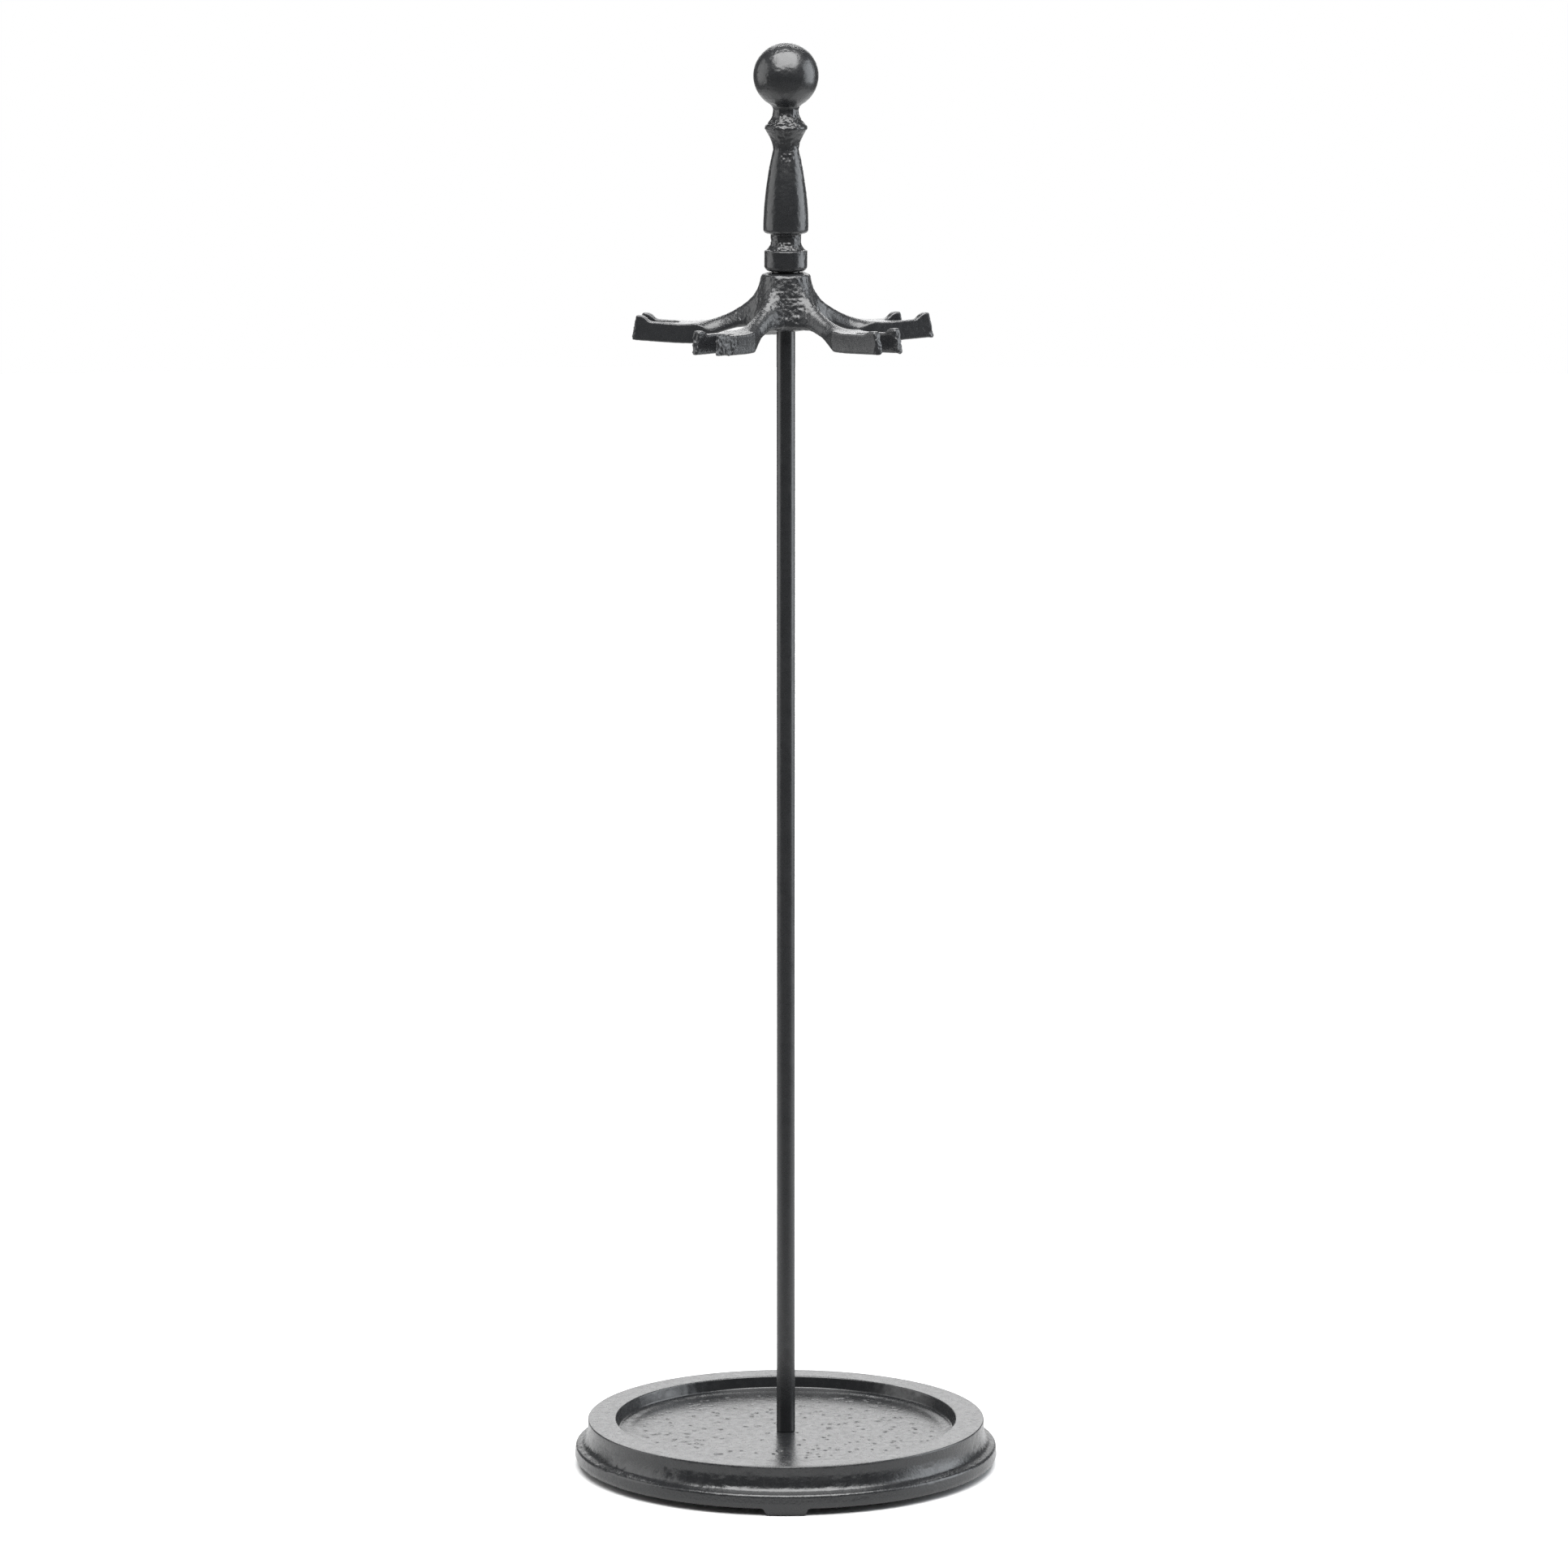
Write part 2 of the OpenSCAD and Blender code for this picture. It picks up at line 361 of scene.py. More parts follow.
def settled(distance, verts, rounds=3):
    """The vertices moved onto the zero level of a distance function, and their normals."""
    for _ in range(rounds):
        g = gradient(distance, verts)
        size = np.maximum((g * g).sum(axis=1), 0.05)
        move = distance(verts) / size
        verts = verts - np.clip(move, -0.4, 0.4)[:, None] * g
    g = gradient(distance, verts)
    return verts, g / np.maximum(np.linalg.norm(g, axis=1), 1e-6)[:, None]


# ---------------------------------------------------------------- materials

def shader(name, color, metallic, roughness):
    """A new material and its node tree, links and Principled shader."""
    material = bpy.data.materials.new(name)
    material.use_nodes = True
    tree = material.node_tree
    bsdf = tree.nodes["Principled BSDF"]
    bsdf.inputs["Base Color"].default_value = (*color, 1)
    bsdf.inputs["Metallic"].default_value = metallic
    bsdf.inputs["Roughness"].default_value = roughness
    material.diffuse_color = (*color, 1)
    return material, tree, bsdf


def noise_node(tree, feature_mm, detail=2.0, rough=0.5):
    """Noise with features of a given size, in the object's own coordinates."""
    coords = tree.nodes.get("coords") or tree.nodes.new("ShaderNodeTexCoord")
    coords.name = "coords"
    node = tree.nodes.new("ShaderNodeTexNoise")
    node.inputs["Scale"].default_value = 1.0 / (feature_mm * MM)
    node.inputs["Detail"].default_value = detail
    node.inputs["Roughness"].default_value = rough
    tree.links.new(coords.outputs["Object"], node.inputs["Vector"])
    return node.outputs["Fac"]


def ranged(tree, value, low, high, start=0.3, end=0.7):
    """The value spread over start to end, mapped to low to high."""
    node = tree.nodes.new("ShaderNodeMapRange")
    node.inputs["From Min"].default_value = start
    node.inputs["From Max"].default_value = end
    node.inputs["To Min"].default_value = low
    node.inputs["To Max"].default_value = high
    tree.links.new(value, node.inputs["Value"])
    return node.outputs["Result"]


def blended(tree, value, dark, light):
    """A colour between dark and light."""
    node = tree.nodes.new("ShaderNodeMix")
    node.data_type = "RGBA"
    node.inputs["A"].default_value = (*dark, 1)
    node.inputs["B"].default_value = (*light, 1)
    tree.links.new(value, node.inputs["Factor"])
    return node.outputs["Result"]


def product(tree, a, b):
    node = tree.nodes.new("ShaderNodeMath")
    node.operation = "MULTIPLY"
    tree.links.new(a, node.inputs[0])
    tree.links.new(b, node.inputs[1])
    return node.outputs["Value"]


def length_of(tree, vector):
    node = tree.nodes.new("ShaderNodeVectorMath")
    node.operation = "LENGTH"
    tree.links.new(vector, node.inputs[0])
    return node.outputs["Value"]


def bumps(tree, bsdf, layers):
    """Stacked bump: each layer is (height output, height in mm)."""
    normal = None
    for height, depth_mm in layers:
        node = tree.nodes.new("ShaderNodeBump")
        node.inputs["Strength"].default_value = 1.0
        node.inputs["Distance"].default_value = depth_mm * MM
        tree.links.new(height, node.inputs["Height"])
        if normal is not None:
            tree.links.new(normal, node.inputs["Normal"])
        normal = node.outputs["Normal"]
    tree.links.new(normal, bsdf.inputs["Normal"])


def grown_outside(tree, value, radius_mm, width_mm, times):
    """The value, multiplied outside a radius from the upright axis."""
    flat = tree.nodes.new("ShaderNodeVectorMath")
    flat.operation = "MULTIPLY"
    flat.inputs[1].default_value = (1, 1, 0)
    tree.links.new(tree.nodes["coords"].outputs["Object"], flat.inputs[0])
    outer = ranged(tree, length_of(tree, flat.outputs["Vector"]), 1.0, times,
                   radius_mm * MM, (radius_mm + width_mm) * MM)
    return product(tree, value, outer)


PAINT_DARK = (0.007, 0.0074, 0.0082)
PAINT_LIGHT = (0.012, 0.0125, 0.0134)


def black_paint(name, grain_mm, grain_depth, gloss, shade=1.0, rough_outside=None):
    """Satin black paint: fine grain over a sand-cast or drawn surface."""
    dark, light = (np.array(color) * shade for color in (PAINT_DARK, PAINT_LIGHT))
    material, tree, bsdf = shader(name, tuple(dark), 0.0, gloss)
    bsdf.inputs["Specular IOR Level"].default_value = 0.55
    cloud = noise_node(tree, 9.0, 3.0)
    tree.links.new(blended(tree, cloud, dark, light), bsdf.inputs["Base Color"])
    speckle = noise_node(tree, grain_mm * 2.5, 3.0, 0.6)
    tree.links.new(ranged(tree, speckle, gloss - 0.05, gloss + 0.07), bsdf.inputs["Roughness"])
    grain = noise_node(tree, grain_mm, 2.5, 0.6)
    if rough_outside:
        grain = grown_outside(tree, grain, *rough_outside)
    bumps(tree, bsdf, [
        (grain, grain_depth),
        (noise_node(tree, grain_mm * 0.35, 1.0), grain_depth * 0.25),
    ])
    return material


def zinc_plate():
    """Bright zinc plate with faint turning and handling marks."""
    material, tree, bsdf = shader("zinc_plate", (0.62, 0.63, 0.62), 1.0, 0.3)
    cloud = noise_node(tree, 2.5, 3.0)
    tree.links.new(blended(tree, cloud, (0.52, 0.53, 0.53), (0.70, 0.70, 0.68)),
                   bsdf.inputs["Base Color"])
    tree.links.new(ranged(tree, noise_node(tree, 0.8, 2.0), 0.24, 0.4), bsdf.inputs["Roughness"])
    bumps(tree, bsdf, [(noise_node(tree, 0.4, 2.0), 0.01)])
    return material


def floor_paper():
    """A roll of pale matt paper under and behind the stand, on a grey floor."""
    pale, grey = 0.51, 0.12
    front, inner, outer, soft = -0.42, 0.75, 1.0, 0.22     # edges of the roll, in metres
    material, tree, bsdf = shader("floor_paper", (pale,) * 3, 0.0, 0.9)
    grain = blended(tree, noise_node(tree, 3.0, 2.0), (pale - 0.01,) * 3, (pale + 0.01,) * 3)
    place = tree.nodes.new("ShaderNodeSeparateXYZ")
    tree.links.new(tree.nodes["coords"].outputs["Object"], place.inputs["Vector"])
    near = ranged(tree, place.outputs["Y"], 0.0, 1.0, front, front + soft)
    near = product(tree, near, ranged(tree, place.outputs["X"], 0.0, 1.0, -outer, -inner))
    near = product(tree, near, ranged(tree, place.outputs["X"], 1.0, 0.0, inner, outer))
    mix = tree.nodes.new("ShaderNodeMix")
    mix.data_type = "RGBA"
    mix.inputs["A"].default_value = (grey, grey, grey, 1)
    tree.links.new(near, mix.inputs["Factor"])
    tree.links.new(grain, mix.inputs["B"])
    tree.links.new(mix.outputs["Result"], bsdf.inputs["Base Color"])
    bsdf.inputs["Specular IOR Level"].default_value = 0.1
    return material


def floor_pale():
    """Plain pale floor: lit by the lamps near the stand, and from within further out."""
    pale = 0.7
    glow_start, glow_full = 0.35, 1.1          # radii in metres
    material, tree, bsdf = shader("floor_pale", (pale,) * 3, 0.0, 0.9)
    cloud = noise_node(tree, 40.0, 2.0)
    tree.links.new(blended(tree, cloud, (pale - 0.01,) * 3, (pale + 0.01,) * 3),
                   bsdf.inputs["Base Color"])
    bsdf.inputs["Specular IOR Level"].default_value = 0.1
    radius = length_of(tree, tree.nodes["coords"].outputs["Object"])
    tree.links.new(ranged(tree, radius, 0.0, 1.0, glow_start, glow_full),
                   bsdf.inputs["Emission Strength"])
    bsdf.inputs["Emission Color"].default_value = (1, 1, 1, 1)
    material.cycles.emission_sampling = "NONE"
    # the floor has only an upper side, so the stand's underside can be looked at through it
    side = tree.nodes.new("ShaderNodeNewGeometry")
    clear = tree.nodes.new("ShaderNodeBsdfTransparent")
    mix = tree.nodes.new("ShaderNodeMixShader")
    tree.links.new(side.outputs["Backfacing"], mix.inputs["Fac"])
    tree.links.new(bsdf.outputs["BSDF"], mix.inputs[1])
    tree.links.new(clear.outputs["BSDF"], mix.inputs[2])
    tree.links.new(mix.outputs["Shader"], tree.nodes["Material Output"].inputs["Surface"])
    return material


def backdrop_pale():
    """Pale wall with its own even light."""
    material, _, bsdf = shader("backdrop_pale", (0.0, 0.0, 0.0), 0.0, 1.0)
    bsdf.inputs["Specular IOR Level"].default_value = 0.0
    bsdf.inputs["Emission Color"].default_value = (1, 1, 1, 1)
    bsdf.inputs["Emission Strength"].default_value = 1.0
    material.cycles.emission_sampling = "NONE"
    return material


CASTING = black_paint("cast_black_paint", 0.8, 0.12, 0.26, 1.2)
BASE_PAINT = black_paint("base_black_paint", 1.2, 0.02, 0.25,
                         rough_outside=(RIM_R - 0.6, 0.6, 6.0))
HANDLE_PAINT = black_paint("handle_black_paint", 1.2, 0.04, 0.26)
ROD_PAINT = black_paint("rod_black_paint", 1.6, 0.010, 0.27)
ZINC = zinc_plate()


# ---------------------------------------------------------------- base casting

def base_outline():
    """Closed outline of the base casting, from the pocket outwards, up, and back in to the bore."""
    wall = TRAY_R - 0.8              # foot of the tray's wall
    ledge = TRAY_Z + 0.9             # worn ledge in front of it
    rim_round, lip_round = 0.6, 0.7
    return joined(
        arc(POCKET_R + 0.8, FOOT_H + 0.8, 0.8, 180, 270, 4),
        arc(BASE_R - 1.6, FOOT_H + 1.3, 1.3, -90, -10, 5),
        [[BASE_R, FOOT_H + 2]],
        arc(BASE_R - SHOULDER_R - 0.2, FLANGE_Z - 0.8, SHOULDER_R, 0, 68),
        curve([BASE_R - 3.2, FLANGE_Z + 1.3], [RIM_R + 1.3, FLANGE_Z + 1.9],
              [RIM_R + 0.5, FLANGE_Z + 3.4], [RIM_R, FLANGE_Z + 7.4]),
        arc(RIM_R - rim_round, RIM_Z - rim_round, rim_round, 0, 90, 4),
        arc(TRAY_R + lip_round, RIM_Z - lip_round, lip_round, 90, 180, 4),
        arc(wall - 0.8, ledge + 0.8, 0.8, 0, -90, 4),
        curve([wall - 1.4, ledge - 0.05], [wall - 2.4, ledge - 0.2],
              [wall - 3.4, TRAY_Z + 0.05], [wall - 5.5, TRAY_Z]),
        [[BORE_R + 0.4, TRAY_Z], [BORE_R, TRAY_Z - 0.4]],
        [[BORE_R, POCKET_Z + 0.3], [BORE_R + 0.3, POCKET_Z]],
        arc(POCKET_R - 0.8, POCKET_Z - 0.8, 0.8, 90, 0, 4),
    )


def foot_depth(x, y, r):
    """0 beside the feet and 1 on them, with sloping ends."""
    depth = np.zeros_like(r)
    for i in range(FEET):
        w = math.radians(-90 + 360 * i / FEET)
        along = x * math.cos(w) + y * math.sin(w)
        across = np.abs(-x * math.sin(w) + y * math.cos(w))
        end = (FOOT_W / 2 - across) / FOOT_SPREAD
        back = (along - (BASE_R - FOOT_L)) / FOOT_SPREAD
        depth = np.maximum(depth, np.clip(np.minimum(end, back), 0, 1))
    return depth


def base_spacing(point):
    """How far apart the outline's points are: close where the skin shows."""
    r, z = point
    if z > TRAY_Z - 1 and r < TRAY_R:
        return 0.8 if r < 12 else 0.64
    return 0.75 if r > RIM_R - 1 else 3.6


def pit_dips(floor):
    """Depth at each point of the tray's floor of the pits left by gas and sand."""
    rng = np.random.default_rng(5)
    away = 6 + (TRAY_R - 14) * np.sqrt(rng.random(PITS))
    turn = rng.random(PITS) * 2 * math.pi
    size = rng.uniform(*PIT_R, PITS)
    depth = rng.uniform(*PIT_DEPTH, PITS)
    dip = np.zeros(len(floor))
    for a, w, s, d in zip(away, turn, size, depth):
        near = np.hypot(floor[:, 0] - a * math.cos(w), floor[:, 1] - a * math.sin(w)) / s
        dip = np.maximum(dip, d * (1 - smoothstep(near)))
    return dip


def base_push(points, rise):
    """How far the cast skin lies from the drawn shape; rise is how much each point faces up."""
    radius, z = np.hypot(points[:, 0], points[:, 1]), points[:, 2]
    cove = np.exp(-((z - FLANGE_Z - 3.5) / 4.0) ** 2) * (radius > RIM_R - 0.3)
    tray = (radius < TRAY_R - 5) & (rise > 0.9)
    rough = 0.06 + 0.14 * cove - 0.03 * tray
    push = rough * (0.65 * noise(points, 2.3, 11) + 0.35 * noise(points, 1.2, 12))
    push += 0.10 * noise(points, 24.0, 13)
    on_rim = (radius > TRAY_R) & (z > RIM_Z - 0.3)
    push = np.where(on_rim, push * 0.35, push)
    push = np.minimum(push, 0.0) * 1.6          # only into the metal, so the casting keeps its size
    push = np.where((rise < -0.9) & (z < 0.5), 0.0, push)
    push[tray] -= pit_dips(points[tray])
    return push


def build_base():
    around = 600
    outline = resampled(base_outline(), base_spacing)
    grid = turned(outline, around)
    x, y, z = grid[..., 0], grid[..., 1], grid[..., 2]
    r = np.hypot(x, y)
    # the underside and the foot of the flange reach down to the floor at each foot
    lowering = np.clip((FOOT_TOP - z) / (FOOT_TOP - FOOT_H), 0, 1)
    lowering *= (r > BASE_R - FOOT_L - 1)
    grid[..., 2] = z - foot_depth(x, y, r) * FOOT_H * lowering

    points = grid.reshape(-1, 3)
    n, out = outward(points, outline_normals(outline), around)
    points = points + out * base_push(points, n[:, 1])[:, None]
    faces = grid_faces(len(outline), around, closed_rows=True)
    return new_piece("base_casting", points, faces, "stand", "base", BASE_PAINT)


# ---------------------------------------------------------------- rod with its threads

def thread_radius(z, w, z_run):
    """Radius of a right-hand M6 thread, fading out over the last turn at z_run."""
    phase = (z / PITCH - w / (2 * math.pi)) % 1.0
    ridge = np.abs(2 * phase - 1)
    ridge = np.clip((ridge - THREAD_FLAT) / (1 - 2 * THREAD_FLAT), 0, 1)
    fade = smoothstep(np.abs(z - z_run) / PITCH)
    return STUD_R - THREAD_DEPTH * (1 - ridge) * fade


def build_rod():
    """Rings from the lower stud's end to the upper one's; a ring without a radius is threaded."""
    around = 48
    edge = 0.3
    low, high = rod_low[2], rod_high[2]
    plain_end = HUB_BOTTOM + STUD_PLAIN
    rows = [(STUD_R / 2, low), (STUD_R - STUD_CHAMFER, low)]
    rows += [(None, z) for z in np.arange(low + 0.05, TRAY_Z - 0.01, PITCH / 8)]
    rows += [(STUD_R, TRAY_Z), (ROD_R - edge, TRAY_Z), (ROD_R, TRAY_Z + edge)]
    rows += [(ROD_R, z) for z in np.linspace(TRAY_Z + 4, HUB_BOTTOM - 4, 90)]
    rows += [(ROD_R, HUB_BOTTOM - edge), (ROD_R - edge, HUB_BOTTOM), (STUD_R, HUB_BOTTOM)]
    rows += [(None, z) for z in np.arange(HUB_BOTTOM + 0.1, high - 0.01, PITCH / 8)]
    rows += [(STUD_R - STUD_CHAMFER, high), (STUD_R / 2, high)]
    w = np.linspace(0, 2 * math.pi, around, endpoint=False)
    verts = []
    for r, z in rows:
        if r is not None:
            ring = np.full(around, r)
        elif HUB_BOTTOM < z < plain_end:
            ring = np.full(around, STUD_R)
        else:
            end = min(abs(z - low), abs(z - high))
            ring = thread_radius(z, w, TRAY_Z if z < TRAY_Z else plain_end)
            ring = np.minimum(ring, STUD_R - STUD_CHAMFER + end)
        verts.append(np.stack([ring * np.cos(w), ring * np.sin(w), np.full(around, z)], axis=1))
    verts = np.concatenate(verts)
    faces = grid_faces(len(rows), around)
    faces.append(tuple(range(around))[::-1])
    faces.append(tuple(range(len(verts) - around, len(verts))))
    return new_piece("rod_bar", verts, faces, "stand", "rod", ROD_PAINT, 35)


# ---------------------------------------------------------------- hanger casting

def arm_frame(points, arm):
    """Distance along and across an arm, which prongs are on its left, and how far each reaches."""
    w = math.radians(ARM_TURN + 360 / ARMS * arm)
    r = points[:, 0] * math.cos(w) + points[:, 1] * math.sin(w)
    t = -points[:, 0] * math.sin(w) + points[:, 1] * math.cos(w)
    left = t > 0
    short = SHORT_PRONG if arm == 0 else 0.0
    return r, t, left, np.where(left, FORK_REACH - short, FORK_REACH)


def corner_cut(r, t, reach, along, across):
    """Distance to the slanting face that takes off the outer corner of a prong."""
    size = math.hypot(along, across)
    return ((r - (reach - along)) * across + (np.abs(t) - FORK_W / 2) * along) / size


def arm_distance(points, arm):
    """Distance to one arm with its fork, in millimetres; negative inside."""
    r, t, left, reach = arm_frame(points, arm)
    z = points[:, 2]
    rise = FORK_RISE * np.clip((r - LEVEL_R) / (FORK_REACH - LEVEL_R), 0, 1.1)

    half = ARM_HALF + (FORK_W / 2 - ARM_HALF) * np.clip((r - FLARE[0]) / (FLARE[1] - FLARE[0]), 0, 1)
    run = np.clip(LEVEL_R - r, 0, SWEEP_R * 0.93)
    up = np.sqrt(SWEEP_R**2 - run**2)
    fade = 1 - smoothstep((r - CREST_END[0]) / (CREST_END[1] - CREST_END[0]))
    crest = CREST * fade * np.clip(t / half, -1.3, 1.3) ** 2
    top = FORK_Z + FORK_T + rise + SWEEP_R - up - crest
    d_top = (z - top) * up / SWEEP_R

    out = np.clip(r - ARCH_TOP_R, 0, ARCH_R * 0.7)
    fall = np.sqrt(ARCH_R**2 - out**2)
    arch = HUB_BOTTOM - ARCH_R + fall
    d_low = soft_max((arch - z) * fall / ARCH_R, (FORK_Z + rise) - z, 0.6)
    d_low = np.maximum(d_low, FORK_Z - z)

    d_side = np.abs(t) - half
    crown = 0.8 + 4.0 * (1 - smoothstep((r - 16) / 20))

    end_top = FORK_Z + FORK_T + FORK_RISE * (reach - LEVEL_R) / (FORK_REACH - LEVEL_R)
    foot = reach - LUG_L
    slope = (z - end_top) - (r - foot)
    lug = np.where(left, LOW_LUGS.get((arm, True), LUG_H), LOW_LUGS.get((arm, False), LUG_H))
    d_lug = soft_max(slope * 0.71, z - end_top - lug, 1.4)
    d_lug = np.maximum(d_lug, foot - 1.5 - r)
    d_up = soft_min(d_top, d_lug, 1.0)

    d_end = r - (reach - FORK_LEAN * np.clip((z - FORK_Z) / FORK_T, 0, 1.4))
    d = soft_max(d_up, d_side, crown)
    d = soft_max(d, d_low, 0.6 + 0.5 * crown)
    d = soft_max(d, d_end, 0.9)

    for side in (True, False):
        d_cut = corner_cut(r, t, reach, *DRESSED.get((arm, side), PLAIN_DRESS))
        d = np.where(left == side, soft_max(d, d_cut, 0.6), d)

    d = np.maximum(d, HUB_R / 3 - r)

    crotch = FORK_REACH - SLOT_L + SLOT_W / 2
    d_slot = np.where(r > crotch, np.abs(t), np.hypot(r - crotch, t)) - SLOT_W / 2
    return soft_max(d, -d_slot, 0.9)


def hub_distance(points):
    rho = np.hypot(points[:, 0], points[:, 1])
    z = points[:, 2]
    bell = BELL * (1 - np.clip((z - HUB_BOTTOM) / BELL_H, 0, 1)) ** 2
    wall = (rho - (HUB_R + HUB_SWELL - HUB_TAPER * (z - HUB_BOTTOM)) - bell) * 0.9
    d = soft_max(wall, z - HUB_TOP, HUB_ROUND)
    return soft_max(d, HUB_BOTTOM - z, 5.0)


def hanger_distance(points):
    d = hub_distance(points)
    for arm in range(ARMS):
        d = soft_min(d, arm_distance(points, arm), ARM_BLEND)
    d = soft_max(d, points[:, 2] - HUB_TOP, HUB_ROUND)
    return np.maximum(d, BORE_R - np.hypot(points[:, 0], points[:, 1]))


def raw_iron(points):
    """1 on the prong ends and on dressed corners, where the iron was broken off and left raw."""
    raw = np.zeros(len(points))
    for arm in range(ARMS):
        r, t, left, reach = arm_frame(points, arm)
        on_arm = (np.abs(t) < FORK_W / 2 + 1) & (r > LEVEL_R)
        here = smoothstep((r - reach + 2.8) / 1.4)
        for (dressed_arm, side), cut in DRESSED.items():
            if dressed_arm == arm:
                near = smoothstep((corner_cut(r, t, reach, *cut) + 0.9) / 0.5)
                here = np.maximum(here, near * (left == side))
        raw = np.where(on_arm, np.maximum(raw, here), raw)
    return raw


def hanger_net():
    """The hanger's surface as vertices and quads, before the cast skin."""
    step = 0.46
    margin = 1.5
    low = hanger_low - margin
    high = hanger_high + margin
    count = np.ceil((high - low) / step).astype(int) + 1
    xs, ys, zs = (low[i] + step * np.arange(count[i]) for i in range(3))
    field = np.empty(tuple(count), np.float32)
    plane_y, plane_z = np.meshgrid(ys, zs, indexing="ij")
    for i, x in enumerate(xs):
        points = np.stack([np.full(plane_y.size, x), plane_y.ravel(), plane_z.ravel()], axis=1)
        field[i] = hanger_distance(points).reshape(plane_y.shape)
    return surface_net(field, low, step)


def build_hanger():
    verts, quads = hanger_net()
    verts, normals = settled(hanger_distance, verts)
    rho = np.hypot(verts[:, 0], verts[:, 1])
    hub = 1 - smoothstep((rho - 13) / 13)
    patchy = 0.65 + 0.45 * noise(verts, 8.0, 21)
    rough = 0.06 + 0.24 * hub * patchy + 0.46 * raw_iron(verts)
    push = cast_skin(verts, rough, 1.5, 1.0, 22) + 0.10 * noise(verts, 14.0, 24)
    top_face = (verts[:, 2] > HUB_TOP - 0.05) & (rho < HUB_R - 1.5)
    bore = rho < BORE_R + 0.5
    push = np.where(top_face | bore, 0.0, push)
    verts = verts + normals * push[:, None]
    verts[:, 2] = np.clip(verts[:, 2], FORK_Z, HUB_TOP)
    return new_piece("hanger_casting", verts, quads.tolist(), "hanger", "hanger",
                     CASTING)


# ---------------------------------------------------------------- handle casting

def handle_outline():
    """Outline of the handle: bore, collar, neck, grip, waist, ring, neck and ball."""
    neck_r, waist_r, ring_r, throat_r = 6.4, 5.5, 9.15, 5.5
    collar_top = COLLAR_Z + 8.9
    grip_z = COLLAR_Z + 15.7
    waist_z = grip_z + 36
    ring_z = waist_z + 9.3
    throat_z = ring_z + 7.4
    ball_z = HANDLE_TOP - BALL_R
    ball_start = -59                 # where the fillet under the ball runs into it
    cos, sin = (BALL_R * f(math.radians(ball_start)) for f in (math.cos, math.sin))
    return joined(
        [[1.0, BORE_TOP], [BORE_R, BORE_TOP]],
        [[BORE_R, COLLAR_Z + 0.3], [BORE_R + 0.3, COLLAR_Z]],
        arc(COLLAR_R - 2, COLLAR_Z + 2, 2, -90, 0),
        arc(COLLAR_R - 0.7, collar_top - 0.7, 0.7, 0, 80, 4),
        curve([COLLAR_R - 1, collar_top + 0.2], [neck_r + 0.5, collar_top + 1.6],
              [neck_r, collar_top + 2.6], [neck_r, collar_top + 4.4]),
        [[neck_r + 0.2, grip_z]],
        arc(GRIP_R - 1.9, grip_z + 2.2, 1.9, -80, 0),
        curve([GRIP_R, grip_z + 5.5], [GRIP_R - 0.3, grip_z + 18],
              [waist_r + 1.6, waist_z - 6.5], [waist_r, waist_z], 24),
        curve([waist_r, waist_z], [waist_r + 0.2, waist_z + 3.6],
              [ring_r - 1.6, ring_z - 3], [ring_r - 0.5, ring_z - 1.2]),
        arc(ring_r - 1.4, ring_z, 1.4, -38, 52, 6),
        curve([ring_r - 1, ring_z + 1.6], [throat_r + 1.2, ring_z + 3.2],
              [throat_r, ring_z + 4.6], [throat_r, throat_z]),
        curve([throat_r, throat_z], [throat_r, throat_z + 1.3],
              [cos - 1.03, ball_z + sin - 0.62], [cos, ball_z + sin], 8),
        arc(0, ball_z, BALL_R, ball_start, 88, 60),
    )


def build_handle():
    around = 192
    outline = resampled(handle_outline(), lambda point: 0.36)
    normals = outline_normals(outline)
    normals[0], normals[-1] = (0, -1), (0, 1)
    points = turned(outline, around).reshape(-1, 3)
    _, out = outward(points, normals, around)
    z = points[:, 2]
    ball = smoothstep((z - (HANDLE_TOP - 2 * BALL_R)) / 3)
    necks = np.exp(-((z - (COLLAR_Z + 12)) / 3.5) ** 2) + np.exp(-((z - (HANDLE_TOP - 33)) / 5) ** 2)
    patchy = np.clip(noise(points, 7.0, 34), 0, 1)
    rough = 0.05 - 0.015 * ball + 0.22 * necks + 0.20 * patchy * (1 - 0.75 * ball)
    push = cast_skin(points, rough, 1.4, 0.9, 31)
    push += 0.09 * noise(points, 11.0, 33) * (1 - 0.5 * ball)
    push = np.minimum(push - 0.06, 0.06)
    inner = np.hypot(points[:, 0], points[:, 1]) < BORE_R + 0.4
    top = z > HANDLE_TOP - 0.3
    push = np.where((inner & (z < BORE_TOP + 1)) | (z < COLLAR_Z + 0.2) | top, 0.0, push)
    points = points + out * push[:, None]
    points[:, 2] = np.minimum(points[:, 2], HANDLE_TOP)
    points = np.concatenate([points, [[0, 0, BORE_TOP], [0, 0, HANDLE_TOP]]])
    faces = pole_faces(len(outline), around)
    return new_piece("handle_casting", points, faces, "handle", "handle",
                     HANDLE_PAINT)


# ---------------------------------------------------------------- washers and nut

def washer_outline(inner, outer, low, high, edge):
    return joined(
        [[inner, low + edge], [inner + edge, low]],
        arc(outer - edge, low + edge, edge, -90, 0, 3),
        arc(outer - edge, high - edge, edge, 0, 90, 3),
        [[inner + edge, high], [inner, high - edge]],
    )


def build_washer(name, node, body, material, edge):
    low, high = node_box(node)
    outline = washer_outline(BORE_R, high[0], low[2], high[2], edge)
    around = 72
    verts = turned(outline, around).reshape(-1, 3)
    faces = grid_faces(len(outline), around, closed_rows=True)
    return new_piece(name, verts, faces, body, node, material, 35)


